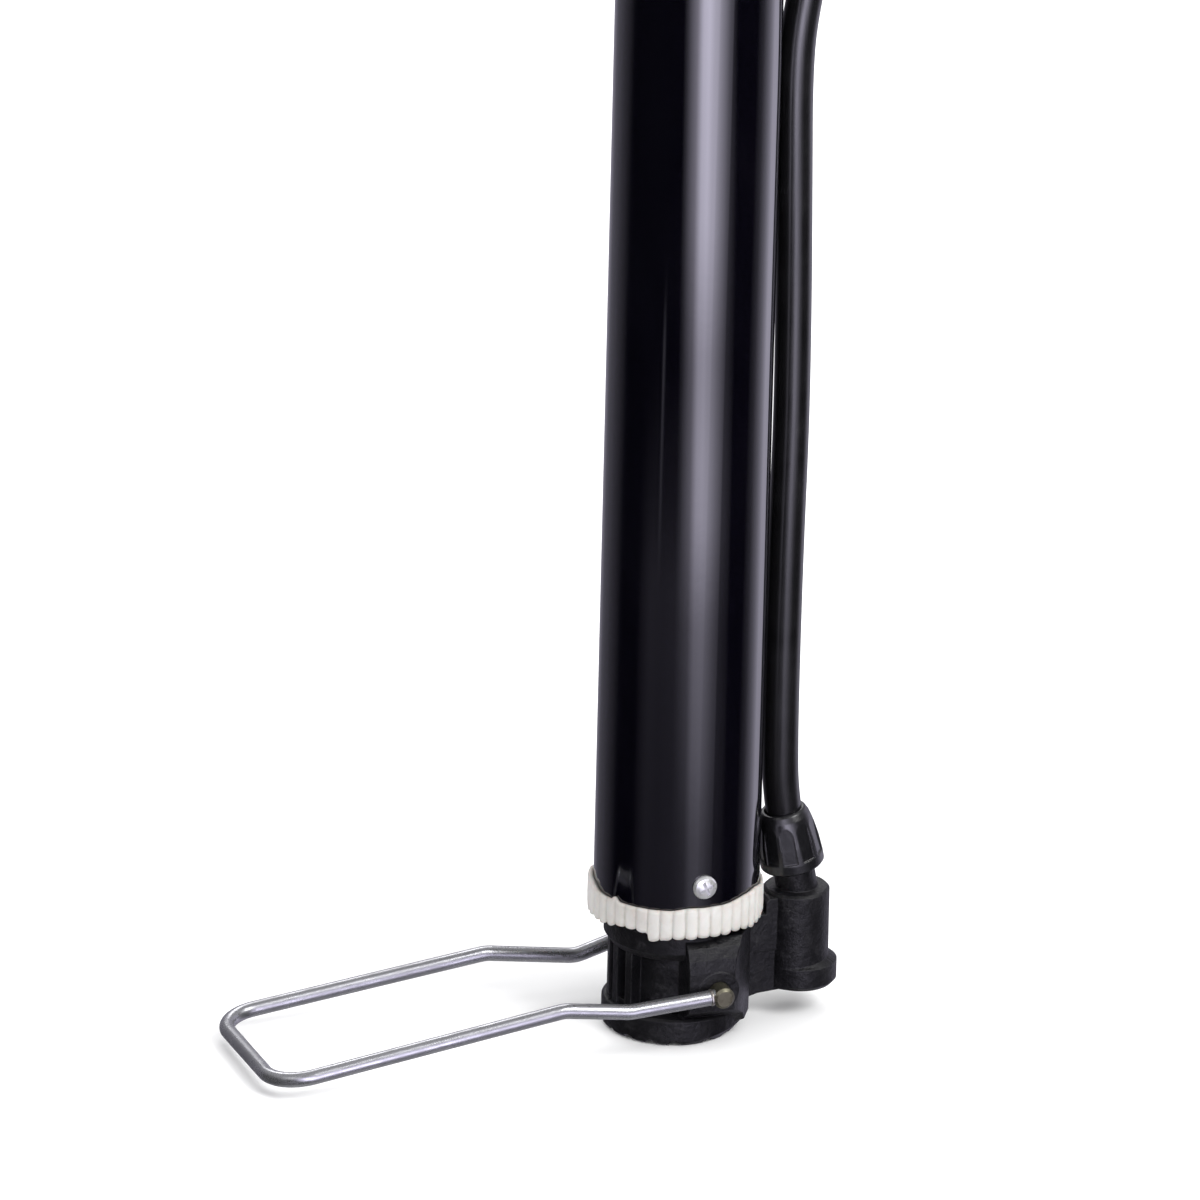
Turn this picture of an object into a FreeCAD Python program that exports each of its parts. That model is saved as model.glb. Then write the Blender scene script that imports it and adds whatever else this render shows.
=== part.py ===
# Portable bicycle floor pump with a fold-out wire foot rest.
#
# Millimetres, +Z up. The origin is on the floor, in the middle of the base's
# underside, on the barrel's axis. The wire foot rest points to -X, the outlet
# port and the hose are on +X, and the foot rest's pivot runs along Y.
import FreeCAD, Part
import math
import os
from FreeCAD import Vector as V

os.makedirs("parts", exist_ok=True)

# ---------------------------------------------------------------- dimensions
# barrel
BARREL_R = 16.0            # outside radius of the steel tube
BARREL_RI = 15.0           # bore radius
BARREL_Z0 = 24.5           # lower end of the tube
BARREL_Z1 = 282.0          # upper end of the tube
SCREW_Z = 34.0             # base screws, on the +Y and -Y sides
CAP_SCREW_Z = 273.0        # top cap screws

# base housing
FOOT_R = 13.9              # lower flange
FOOT_H = 5.4
BODY_R = 12.9              # outside of the ribs
CORE_R = 10.3              # wall behind the ribs
TOP_FLANGE_R = 13.8
TOP_FLANGE_Z = 17.4
BASE_TOP = 23.3            # where the collar ring begins
SPIGOT_R = 14.88
SPIGOT_TOP = 46.0
LUG_X0, LUG_X1 = -2.6, 6.6
LUG_Y = 16.5
WEB_HALF = 3.5

# outlet port
PORT_X = 24.6
PORT_R = 6.4
PORT_FLANGE_X = 25.6        # the boss's foot stands a little further out
PORT_FLANGE_R = 7.2
PORT_Z0, PORT_Z1 = 5.3, 25.1
PORT_TILT = 11.5           # the bore leans towards the barrel, degrees
PORT_P = V(25.25, 0, 22.0)  # a point on the bore's axis
NECK_R = 4.0
GLAND_T0, GLAND_T1 = 7.9, 19.9   # the gland nut, along that axis from PORT_P

# collar ring
COLLAR_R = 16.7
COLLAR_Z0, COLLAR_Z1 = 23.3, 29.3
COLLAR_TEETH = 42

# foot rest
PIVOT_X, PIVOT_Z = 3.3, 11.9
PIVOT_R = 2.1
PIVOT_HALF = 20.3
WIRE_R = 1.5
# the corners of each leg, from the pivot rod to the cross bar; the two legs are
# bent a little unevenly
WIRE_NEAR = [(PIVOT_X - 1.0, -18.6, PIVOT_Z), (-15.3, -18.5, 10.7), (-28.5, -18.1, 12.35), (-86.2, -18.0, 3.5)]
WIRE_FAR = [(PIVOT_X - 1.0, 18.6, PIVOT_Z), (-13.7, 18.5, 7.1), (-32.2, 18.1, 9.95), (-86.7, 18.0, 2.9)]
WIRE_BEND_R = 7.0
WIRE_CORNER_R = 7.5

# hose: its route, from inside the gland nut to the head's barb
HOSE_R, HOSE_RI = 3.5, 2.1
HOSE_ROUTE = [
    (22.82, 0.0, 33.94), (20.83, 0.0, 43.70), (20.40, 0.0, 56.0),
    (20.35, 0.0, 76.0), (20.5, 0.0, 98.0), (20.92, 0.0, 121.0),
    (20.72, 0.0, 146.0), (20.2, 0.0, 170.0), (19.66, 0.0, 193.0),
    (20.45, 0.0, 205.0), (24.4, 0.0, 225.0), (24.4, 0.0, 236.0),
]

# hose head
HEAD_X = 24.4
HEAD_Z0 = 236.0
LEVER_X, LEVER_Z = HEAD_X + 9.0, 263.0

# piston, rod and handle
ROD_R = 5.0
ROD_TOP = 308.0
PISTON_Z = 62.0            # underside of the piston head
HANDLE_Z = 310.0           # axis of the cross bar
HANDLE_HALF = 56.0
HUB_Z0 = 294.0

# top cap
CAP_R = 17.4
CAP_PLUG_Z0 = 262.0
CAP_TOP = 291.5


# ------------------------------------------------------------------- helpers
def cyl(r, z0, z1, x=0.0, y=0.0):
    return Part.makeCylinder(r, z1 - z0, V(x, y, z0))


def tube(r, ri, z0, z1, x=0.0, y=0.0):
    return cyl(r, z0, z1, x, y).cut(cyl(ri, z0 - 1, z1 + 1, x, y))


def cyl_y(r, y0, y1, x, z):
    return Part.makeCylinder(r, y1 - y0, V(x, y0, z), V(0, 1, 0))


def cyl_x(r, x0, x1, y, z):
    return Part.makeCylinder(r, x1 - x0, V(x0, y, z), V(1, 0, 0))


def box(x0, x1, y0, y1, z0, z1):
    return Part.makeBox(x1 - x0, y1 - y0, z1 - z0, V(x0, y0, z0))


def turned(profile, x=0.0, y=0.0):
    """A solid of revolution about the vertical line at x, y from (radius, z) points."""
    pts = [V(r, 0, z) for r, z in profile]
    face = Part.Face(Part.makePolygon(pts + [pts[0]]))
    s = face.revolve(V(0, 0, 0), V(0, 0, 1), 360)
    s.translate(V(x, y, 0))
    return s


def rot_z(shape, deg, centre=V(0, 0, 0)):
    s = shape.copy()
    s.rotate(centre, V(0, 0, 1), deg)
    return s


def fuse(shapes):
    s = shapes[0]
    if len(shapes) > 1:
        s = s.multiFuse(shapes[1:])
    return s.removeSplitter()


def along_port(shape):
    """Takes a shape built upright on the Z axis (t = z) onto the leaning port axis."""
    s = shape.copy()
    s.rotate(V(0, 0, 0), V(0, 1, 0), -PORT_TILT)
    s.translate(PORT_P)
    return s


def route_wire(points, radii=None, share=0.45, report=None):
    """Straight runs joined by tangent arcs, through the given corner points."""
    pts = [V(*p) for p in points]
    edges, start = [], pts[0]
    for i in range(1, len(pts) - 1):
        a, b, c = pts[i - 1], pts[i], pts[i + 1]
        u, w = (a - b), (c - b)
        la, lc = u.Length, w.Length
        u.normalize()
        w.normalize()
        turn = math.pi - u.getAngle(w)
        if radii is None:
            r = share * min(la, lc) / math.tan(turn / 2)
        else:
            r = radii[i - 1]
        back = r * math.tan(turn / 2)
        t0, t1 = b + u * back, b + w * back
        mid_dir = (u + w)
        mid_dir.normalize()
        centre = b + mid_dir * (r / math.cos(turn / 2))
        mid = centre - mid_dir * r
        if (t0 - start).Length > 1e-6:
            edges.append(Part.LineSegment(start, t0).toShape())
        edges.append(Part.Arc(t0, mid, t1).toShape())
        if report is not None:
            report.append((round(r, 1), round(math.degrees(turn), 2)))
        start = t1
    edges.append(Part.LineSegment(start, pts[-1]).toShape())
    return Part.Wire(edges)


def swept(path, r):
    e = path.OrderedEdges[0]
    p = e.valueAt(e.FirstParameter)
    d = e.tangentAt(e.FirstParameter)
    ring = Part.Wire([Part.makeCircle(r, p, d)])
    return path.makePipeShell([ring], True, False)


def one_solid(s):
    """The shape's solids alone, as one solid or a compound of them."""
    sol = s.Solids
    return sol[0] if len(sol) == 1 else Part.makeCompound(sol)


def save(name, shape):
    shape = one_solid(shape)
    assert shape.isValid(), name
    for s in shape.Solids:
        assert s.Volume > 0, name
    shape.exportStep("parts/%s.step" % name)
    b = shape.BoundBox
    print("%-22s solids %d  vol %9.1f  x %.2f..%.2f y %.2f..%.2f z %.2f..%.2f" % (
        name, len(shape.Solids), shape.Volume, b.XMin, b.XMax, b.YMin, b.YMax, b.ZMin, b.ZMax))


# -------------------------------------------------------------- base housing
def base_housing():
    # lower flange with a bevelled foot
    flange = turned([(0, 0), (FOOT_R - 0.7, 0), (FOOT_R - 0.1, 0.5), (FOOT_R, 1.0),
                     (FOOT_R, FOOT_H - 0.5), (FOOT_R - 0.5, FOOT_H), (0, FOOT_H)])
    # shallow hollows round the foot's edge, so that it stands on rounded pads
    for a in (12, 40, 61, 83, 108, 133, 152, 170, 191, 212, 233, 252, 282, 305, 331, 350):
        n = Part.makeCylinder(1.5, 6.0, V(FOOT_R - 2.6, 0, -0.5), V(1, 0, 0))
        flange = flange.cut(rot_z(n, a))
    # the rim's chamfer grows towards the outlet side
    flange = flange.common(Part.makeCone(13.2, 13.2 + 0.81 * 8, 8.0, V(-1.4, 0, 0)))
    core = cyl(CORE_R, 0, BASE_TOP)
    top = turned([(0, TOP_FLANGE_Z), (BODY_R - 0.2, TOP_FLANGE_Z), (TOP_FLANGE_R, TOP_FLANGE_Z + 1.6),
                  (TOP_FLANGE_R, BASE_TOP), (0, BASE_TOP)])
    parts = [flange, core, top]
    # upright ribs on the front, clear panels between them and the lugs
    for a in (152.5, 171.5, 188.5, 207.5, 40.0, 62.0, -40.0, -62.0):
        rib = box(CORE_R - 1.5, BODY_R, -0.8, 0.8, FOOT_H - 0.5, TOP_FLANGE_Z + 0.5)
        parts.append(rot_z(rib, a))
    # low step at the foot of the front ribs
    step = tube(BODY_R - 0.5, CORE_R - 1, FOOT_H - 0.5, FOOT_H + 1.6)
    sector = Part.makeCylinder(20, 30, V(0, 0, -1), V(0, 0, 1), 63)
    sector.rotate(V(0, 0, 0), V(0, 0, 1), 180 - 31.5)
    parts.append(step.common(sector))
    # side view of the web, whose underside climbs from the flange to the boss
    web = [V(LUG_X0 - 1, 0, 2.2), V(8.0, 0, 2.2), V(12.4, 0, 3.8), V(15.8, 0, 4.8), V(21.0, 0, 5.2), V(PORT_X, 0, PORT_Z0),
           V(PORT_X, 0, 23.0), V(LUG_X0 - 1, 0, 23.0)]
    web_side = Part.Face(Part.makePolygon(web + [web[0]])).extrude(V(0, 60, 0))
    web_side.translate(V(0, -30, 0))
    # pivot lugs, one each side, cut away below towards the foot
    for s in (1, -1):
        prof = [V(0, s * 8.0, 2.4), V(0, s * 10.4, 2.4), V(0, s * 11.8, 4.9), V(0, s * LUG_Y, 7.9),
                V(0, s * LUG_Y, 16.0), V(0, s * 16.1, 18.4), V(0, s * 15.0, 20.6), V(0, s * 13.4, 22.0), V(0, s * 8.0, 22.0)]
        face = Part.Face(Part.makePolygon(prof + [prof[0]]))
        lug = face.extrude(V(16.0 - LUG_X0, 0, 0))
        lug.translate(V(LUG_X0, 0, 0))
        # seen from above, the lug narrows into the web
        plan = [V(LUG_X0, 0, 0), V(LUG_X0, s * 20, 0), V(LUG_X1, s * 20, 0), V(LUG_X1, s * LUG_Y, 0),
                V(LUG_X1 + 1.1, s * 15.4, 0), V(15.4, s * 3.6, 0), V(15.4, 0, 0)]
        plan = Part.Face(Part.makePolygon(plan + [plan[0]])).extrude(V(0, 0, 30))
        parts.append(lug.common(plan).common(web_side))
        # raised eye round the pivot hole
        parts.append(cyl_y(4.1, min(s * 9, s * (LUG_Y + 0.15)), max(s * 9, s * (LUG_Y + 0.15)), PIVOT_X, PIVOT_Z))
    # web and outlet boss
    parts.append(box(8.0, PORT_X, -WEB_HALF, WEB_HALF, 0, 21.2).common(web_side))
    parts.append(box(9.0, PORT_X, -WEB_HALF - 0.3, WEB_HALF + 0.3, 13.6, 21.2))
    # the web's top rises to the boss, clear of the collar ring
    crest = [V(17.2, 0, 20.0), V(PORT_X, 0, 20.0), V(PORT_X, 0, 24.3), V(17.9, 0, 24.3), V(17.2, 0, 23.6)]
    crest = Part.Face(Part.makePolygon(crest + [crest[0]])).extrude(V(0, 2 * WEB_HALF + 0.6, 0))
    crest.translate(V(0, -WEB_HALF - 0.3, 0))
    parts.append(crest)
    parts.append(turned([(0, PORT_Z0), (PORT_FLANGE_R - 0.8, PORT_Z0), (PORT_FLANGE_R, PORT_Z0 + 0.9),
                         (PORT_FLANGE_R, PORT_Z0 + 4.6), (5.4, PORT_Z0 + 5.9), (0, PORT_Z0 + 5.9)], PORT_FLANGE_X))
    parts.append(turned([(0, PORT_Z0 + 0.3), (PORT_R + 0.1, PORT_Z0 + 0.3), (PORT_R, PORT_Z1 - 0.5),
                         (PORT_R - 0.5, PORT_Z1), (0, PORT_Z1)], PORT_X))
    parts.append(along_port(cyl(NECK_R, 0.0, 8.3)))
    # spigot inside the barrel, with a groove for the seal
    spigot = turned([(0, BASE_TOP - 0.2), (13.8, BASE_TOP - 0.2), (13.8, BASE_TOP), (SPIGOT_R, BASE_TOP),
                     (SPIGOT_R, 40.0), (13.3, 40.0), (13.3, 42.6), (SPIGOT_R, 42.6), (SPIGOT_R, SPIGOT_TOP - 0.8),
                     (SPIGOT_R - 0.8, SPIGOT_TOP), (0, SPIGOT_TOP)])
    parts.append(spigot)
    s = fuse(parts)
    # valve chamber, passage down, passage across, port bore
    s = s.cut(cyl(4.2, 26.0, SPIGOT_TOP + 1))
    s = s.cut(cyl(1.3, 17.2, 26.5))
    s = s.cut(cyl_x(1.7, -0.1, PORT_X - 0.4, 0, 17.6))
    s = s.cut(along_port(cyl(3.4, -4.6, 10.0)))
    # pivot hole
    s = s.cut(cyl_y(PIVOT_R + 0.08, -25, 25, PIVOT_X, PIVOT_Z))
    # screw pilot holes
    for sgn in (1, -1):
        s = s.cut(cyl_y(1.25, min(sgn * 8.6, sgn * 16), max(sgn * 8.6, sgn * 16), 0, SCREW_Z))
    # cored underside: pockets between spokes
    for a in range(0, 360, 60):
        ring = tube(10.6, 4.6, -1, 6.0)
        wedge = Part.makeCylinder(20, 10, V(0, 0, -2), V(0, 0, 1), 44)
        wedge.rotate(V(0, 0, 0), V(0, 0, 1), a + 8)
        s = s.cut(ring.common(wedge))
    # cored underside of the boss
    s = s.cut(tube(4.9, 1.8, PORT_Z0 - 1, PORT_Z0 + 3.0, PORT_FLANGE_X))
    return s.removeSplitter()


save("base_housing", base_housing())

# --------------------------------------------------------------- collar ring
collar = tube(COLLAR_R, BARREL_R + 0.06, COLLAR_Z0 + 1.1, COLLAR_Z1)
collar = collar.fuse(tube(COLLAR_R, SPIGOT_R + 0.1, COLLAR_Z0, COLLAR_Z0 + 1.1)).removeSplitter()
cutters = []
for i in range(COLLAR_TEETH):
    c = cyl(0.62, COLLAR_Z0 - 1, COLLAR_Z1 + 1, COLLAR_R + 0.16, 0)
    cutters.append(rot_z(c, 360.0 * i / COLLAR_TEETH))
collar = collar.cut(Part.makeCompound(cutters))
slit = box(14, 18, -0.3, 0.3, COLLAR_Z0 - 1, COLLAR_Z1 + 1)
collar = collar.cut(rot_z(slit, 209.5))
save("collar_ring", collar)

# -------------------------------------------------------------------- barrel
barrel = tube(BARREL_R, BARREL_RI, BARREL_Z0, BARREL_Z1)
for sgn in (1, -1):
    for z in (SCREW_Z, CAP_SCREW_Z):
        barrel = barrel.cut(cyl_y(1.4, min(0, sgn * 20), max(0, sgn * 20), 0, z))
save("barrel_tube", barrel)


def pan_screw(z, sgn):
    """Self-tapping pan head screw, driven inward along Y."""
    s = turned([(0, -7.0), (0.35, -7.0), (1.15, -5.4), (1.15, 0.0), (2.35, 0.0), (2.35, 0.5),
                (2.05, 1.0), (1.3, 1.35), (0.0, 1.5)])
    for d in (0, 90):
        s = s.cut(rot_z(box(-1.45, 1.45, -0.28, 0.28, 0.7, 3), d + 24))
    s.rotate(V(0, 0, 0), V(1, 0, 0), 90)          # +Z -> -Y
    if sgn > 0:
        s.rotate(V(0, 0, 0), V(0, 0, 1), 180)
    s.translate(V(0, sgn * (BARREL_R + 0.03), z))
    return s


save("base_screws", Part.makeCompound([pan_screw(SCREW_Z, 1), pan_screw(SCREW_Z, -1)]))
save("cap_screws", Part.makeCompound([pan_screw(CAP_SCREW_Z, 1), pan_screw(CAP_SCREW_Z, -1)]))

# barrel seal in the spigot's groove
seal = Part.makeTorus(14.14, 0.8, V(0, 0, 41.3))
save("barrel_seal", seal)

# --------------------------------------------------------------- check valve
seat = turned([(1.5, 40.0), (3.4, 40.0), (4.12, 40.7), (4.12, 44.2), (1.9, 44.2), (1.5, 43.6)])
save("check_valve_seat", seat)
ball = Part.makeSphere(2.6, V(0, 0, 40.0 - math.sqrt(2.6 ** 2 - 1.5 ** 2) - 0.04))
save("check_valve_ball", ball)
SPRING_Z0, SPRING_Z1 = 26.3, 35.75
helix = Part.makeHelix(1.7, SPRING_Z1 - SPRING_Z0 - 0.5, 2.2)
helix.translate(V(0, 0, SPRING_Z0 + 0.25))
prof = Part.Wire([Part.makeCircle(0.25, V(2.2, 0, SPRING_Z0 + 0.25), V(0, 1, 0))])
spring = Part.Wire(helix).makePipeShell([prof], True, True)
save("check_valve_spring", spring)

# ------------------------------------------------ outlet nipple, gland, hose
nipple = turned([(1.3, -4.3), (3.3, -4.3), (3.3, 8.35), (4.35, 8.35), (4.35, 12.1), (1.9, 12.1), (1.9, 14.0),
                 (2.05, 14.1), (1.9, 16.4), (2.05, 16.5), (1.8, 19.2), (1.3, 19.2)])
save("outlet_nipple", along_port(nipple))

gl = turned([(4.45, GLAND_T0), (5.85, GLAND_T0), (6.2, GLAND_T0 + 0.4), (6.2, GLAND_T0 + 1.9),
             (5.95, GLAND_T0 + 5.4), (5.5, GLAND_T0 + 8.4), (4.95, GLAND_T1 - 1.4), (4.4, GLAND_T1 - 0.3),
             (4.05, GLAND_T1), (3.62, GLAND_T1), (3.62, 13.0), (4.45, 13.0)])
# flats round the cone
flats = []
for i in range(10):
    b = box(-1.35, 1.35, 0, 4, GLAND_T0 + 2.3, GLAND_T1 + 1)
    b.rotate(V(0, 0, GLAND_T0 + 2.3), V(1, 0, 0), 5.2)
    b.translate(V(0, 5.82, 0))
    flats.append(rot_z(b, 36.0 * i + 18))
gl = gl.cut(Part.makeCompound(flats))
save("gland_nut", along_port(gl))

radii = []
path = route_wire(HOSE_ROUTE, report=radii)
outer = swept(path, HOSE_R)
inner = swept(path, HOSE_RI)
hose = outer.cut(inner)
save("hose", hose)
want = math.pi * (HOSE_R ** 2 - HOSE_RI ** 2) * path.Length
print("hose length %.1f  volume %.1f  section x length %.1f" % (path.Length, hose.Volume, want))
print("hose bends (radius mm, turn deg):", radii)

# ------------------------------------------------------------- hose end head
# a short crimp collar over the hose's end, bell-mouthed where the hose leans
ferrule = turned([(3.9, 229.4), (4.5, 229.4), (4.7, 229.9), (4.7, 231.2), (4.4, 231.6), (4.4, 232.4), (4.7, 232.8),
                  (4.7, 235.3), (4.5, 235.9), (3.56, 235.9), (3.56, 232.0)], HEAD_X)
save("hose_ferrule", ferrule)

hb = turned([(1.2, 230.6), (1.9, 230.6), (2.05, 232.4), (1.9, 232.5), (2.05, 234.6), (1.9, 234.7), (1.9, 236.0),
             (4.7, 236.0), (5.2, 236.5), (5.2, 246.6), (7.2, 249.2), (7.2, 269.6), (6.3, 269.6), (6.3, 276.5),
             (5.9, 276.5), (5.9, 262.0), (1.2, 262.0)], HEAD_X)
ears = []
for s in (1, -1):
    y0, y1 = (4.5, 6.3) if s > 0 else (-6.3, -4.5)
    ears.append(box(HEAD_X + 3.0, LEVER_X, y0, y1, LEVER_Z - 3.2, LEVER_Z + 3.2))
    ears.append(cyl_y(3.2, y0, y1, LEVER_X, LEVER_Z))
hb = fuse([hb] + ears)
hb = hb.cut(box(HEAD_X + 5.9, HEAD_X + 12, -4.5, 4.5, LEVER_Z - 7.4, LEVER_Z + 4.6))
hb = hb.cut(cyl_y(1.06, -8, 8, LEVER_X, LEVER_Z))
hb = hb.cut(cyl(5.9, 262.0, 280, HEAD_X))
save("valve_head_body", hb)

nose = turned([(6.42, 270.0), (7.8, 270.0), (7.8, 279.0), (6.9, 281.6), (4.2, 281.6), (4.2, 277.2), (6.42, 277.2)], HEAD_X)
grooves = []
for i in range(24):
    g = cyl(0.42, 271.2, 278.6, HEAD_X + 7.95, 0)
    grooves.append(rot_z(g, 15.0 * i + 7.5, V(HEAD_X, 0, 0)))
nose = nose.cut(Part.makeCompound(grooves))
save("valve_head_nose", nose)
gasket = turned([(3.9, 264.2), (5.7, 264.2), (5.7, 277.1), (3.9, 277.1)], HEAD_X)
save("valve_head_gasket", gasket)
core = turned([(1.5, 262.05), (5.6, 262.05), (5.6, 263.1), (2.4, 263.1), (1.7, 264.15), (1.0, 264.15), (1.0, 263.2), (1.5, 262.8)], HEAD_X)
save("valve_depressor", core)

lev = fuse([
    cyl_y(2.9, -4.3, 4.3, LEVER_X, LEVER_Z),
    box(LEVER_X - 1.0, LEVER_X + 2.9, -4.3, 4.3, LEVER_Z - 24.0, LEVER_Z),
    cyl_y(1.95, -4.3, 4.3, LEVER_X + 0.95, LEVER_Z - 24.0),
])
lev = lev.cut(cyl_y(6.0, -2.6, 2.6, LEVER_X + 7.6, LEVER_Z - 14.0))
for k in range(4):
    lev = lev.cut(cyl_y(0.45, -5, 5, LEVER_X + 3.05, LEVER_Z - 19.2 - 1.5 * k))
lev = lev.cut(cyl_y(1.06, -8, 8, LEVER_X, LEVER_Z))
save("valve_head_lever", lev)
save("lever_pin", cyl_y(1.0, -6.5, 6.5, LEVER_X, LEVER_Z))

# clip that holds the head's stem to the barrel
band = tube(17.7, BARREL_R + 0.08, 238.0, 246.0)
holder = tube(7.0, 5.3, 238.0, 246.0, HEAD_X)
clip = fuse([band, holder.cut(cyl(BARREL_R + 0.5, 237, 247)), box(16.6, 19.6, -2.6, 2.6, 238.0, 246.0)])
clip = clip.cut(cyl(5.3, 237, 247, HEAD_X)).cut(cyl(BARREL_R + 0.08, 237, 247))
mouth = Part.makeCylinder(12, 10, V(HEAD_X, 0, 237), V(0, 0, 1), 96)
mouth = rot_z(mouth, -48, V(HEAD_X, 0, 0))
clip = clip.cut(mouth)
clip = clip.cut(box(-19, -14, -0.5, 0.5, 237, 247))
# two ears and a screw close the band at the front
ear = fuse([box(-22.6, -16.4, 0.5, 2.4, 238.0, 246.0), box(-22.6, -16.4, -2.4, -0.5, 238.0, 246.0)])
ear = ear.cut(cyl(BARREL_R + 0.08, 237, 247))
clip = clip.fuse(ear).removeSplitter()
clip = clip.cut(cyl_y(1.35, -5, 5, -20.4, 242.0))
save("hose_clip", clip)
cs = fuse([cyl_y(1.25, -2.44, 4.6, -20.4, 242.0), cyl_y(2.3, -3.9, -2.44, -20.4, 242.0)])
cs = cs.cut(box(-22.9, -17.9, -4.2, -3.2, 241.7, 242.3))
save("clip_screw", cs)
hexn = Part.Face(Part.makePolygon([V(-20.4 + 2.75 * math.cos(math.radians(60 * k + 30)), 2.44,
                                     242.0 + 2.75 * math.sin(math.radians(60 * k + 30))) for k in range(7)]))
hexn = hexn.extrude(V(0, 1.9, 0)).cut(cyl_y(1.3, 0, 10, -20.4, 242.0))
save("clip_nut", hexn)

# ----------------------------------------------------------------- foot rest
rod = cyl_y(PIVOT_R, -PIVOT_HALF + 0.5, PIVOT_HALF - 0.5, PIVOT_X, PIVOT_Z)
for s in (1, -1):
    dome = Part.makeCone(PIVOT_R, PIVOT_R - 0.55, 0.5, V(PIVOT_X, s * (PIVOT_HALF - 0.5), PIVOT_Z), V(0, s, 0))
    rod = rod.fuse(dome)
rod = rod.removeSplitter()
save("foot_pivot_rod", rod)

loop = route_wire(WIRE_NEAR + list(reversed(WIRE_FAR)),
                  radii=[WIRE_BEND_R, WIRE_BEND_R, WIRE_CORNER_R, WIRE_CORNER_R, WIRE_BEND_R, WIRE_BEND_R])
wire = swept(loop, WIRE_R).cut(cyl_y(PIVOT_R, -30, 30, PIVOT_X, PIVOT_Z))
save("foot_wire", wire)
print("foot wire length %.1f" % loop.Length)

# ------------------------------------------------------------ piston and rod
stud = cyl(2.95, 52.0, 66.2)
rodb = turned([(0, 66.0), (ROD_R, 66.0), (ROD_R, ROD_TOP - 0.6), (ROD_R - 0.6, ROD_TOP), (3.9, ROD_TOP), (3.9, 78.0), (0, 74.0)])
prod = fuse([stud, rodb])
prod = prod.cut(cyl_x(1.55, -8, 8, 0, 301.0))
save("piston_rod", prod)

head = turned([(3.02, PISTON_Z), (13.6, PISTON_Z), (14.55, PISTON_Z + 0.7), (14.55, PISTON_Z + 3.3), (13.8, PISTON_Z + 3.95),
               (3.02, PISTON_Z + 3.95)])
save("piston_head", head)
cup = turned([(3.1, PISTON_Z - 2.4), (11.9, PISTON_Z - 2.4), (12.9, PISTON_Z - 3.6), (13.5, PISTON_Z - 9.6), (14.68, PISTON_Z - 9.8),
              (14.55, PISTON_Z - 1.4), (13.4, PISTON_Z - 0.05), (3.1, PISTON_Z - 0.05)])
save("piston_cup", cup)
save("piston_washer", turned([(3.1, PISTON_Z - 3.9), (10.8, PISTON_Z - 3.9), (10.8, PISTON_Z - 2.45), (3.1, PISTON_Z - 2.45)]))
hn = Part.Face(Part.makePolygon([V(5.77 * math.cos(math.radians(60 * k)), 5.77 * math.sin(math.radians(60 * k)), 53.2)
                                 for k in range(7)]))
hn = hn.extrude(V(0, 0, 4.85)).cut(cyl(3.02, 50, 70))
save("piston_nut", hn)
save("piston_buffer", turned([(ROD_R + 0.1, PISTON_Z + 4.02), (8.8, PISTON_Z + 4.02), (9.4, PISTON_Z + 5.2), (8.6, PISTON_Z + 10.5),
                              (7.4, PISTON_Z + 12.0), (ROD_R + 0.1, PISTON_Z + 12.0)]))

# ------------------------------------------------------------------- top cap
cap = turned([(7.5, CAP_PLUG_Z0), (SPIGOT_R, CAP_PLUG_Z0), (SPIGOT_R, BARREL_Z1 + 0.05), (CAP_R - 0.4, BARREL_Z1 + 0.05),
              (CAP_R, BARREL_Z1 + 0.6), (CAP_R, CAP_TOP - 3.4), (CAP_R - 1.4, CAP_TOP - 1.0), (CAP_R - 3.2, CAP_TOP - 0.2),
              (11.0, CAP_TOP), (7.5, CAP_TOP)])
flutes = []
for i in range(28):
    f = cyl(0.7, BARREL_Z1 + 1.3, CAP_TOP - 2.0, CAP_R + 0.28, 0)
    flutes.append(rot_z(f, 360.0 / 28 * i))
cap = cap.cut(Part.makeCompound(flutes))
cap = cap.cut(cyl(1.0, 255, 300, 11.2 * math.cos(math.radians(150)), 11.2 * math.sin(math.radians(150))))
for sgn in (1, -1):
    cap = cap.cut(cyl_y(1.25, min(sgn * 8.6, sgn * 16), max(sgn * 8.6, sgn * 16), 0, CAP_SCREW_Z))
save("top_cap", cap)
bush = turned([(ROD_R + 0.1, CAP_PLUG_Z0 - 1.6), (9.4, CAP_PLUG_Z0 - 1.6), (9.4, CAP_PLUG_Z0 - 0.05), (7.42, CAP_PLUG_Z0 - 0.05),
               (7.42, CAP_TOP + 0.9), (6.9, CAP_TOP + 1.4), (ROD_R + 0.1, CAP_TOP + 1.4)])
save("rod_guide_bush", bush)

# -------------------------------------------------------------------- handle
hub = turned([(ROD_R + 0.06, HUB_Z0), (8.0, HUB_Z0), (9.0, HUB_Z0 + 1.0), (9.6, HANDLE_Z - 6), (9.6, HANDLE_Z), (0, HANDLE_Z),
              (0, ROD_TOP + 0.1), (ROD_R + 0.06, ROD_TOP + 0.1)])
core_bar = cyl_y(7.4, -HANDLE_HALF + 1.2, HANDLE_HALF - 1.2, 0, HANDLE_Z + 1.2)
saddle = cyl_y(11.2, -12.5, 12.5, 0, HANDLE_Z + 1.2)
knobs = [cyl_y(11.4, HANDLE_HALF - 3.0, HANDLE_HALF, 0, HANDLE_Z + 1.2), cyl_y(11.4, -HANDLE_HALF, -HANDLE_HALF + 3.0, 0, HANDLE_Z + 1.2)]
knobs = [k.makeChamfer(0.9, [e for e in k.Edges if abs(abs(e.CenterOfMass.y) - HANDLE_HALF) < 0.01 and e.Length > 20]) for k in knobs]
hd = fuse([hub, core_bar, saddle.makeChamfer(1.4, [e for e in saddle.Edges if e.Length > 30 and abs(abs(e.CenterOfMass.y) - 12.5) < 0.01])] + knobs)
hd = hd.cut(cyl(ROD_R + 0.06, HUB_Z0 - 1, ROD_TOP + 0.1))
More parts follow.
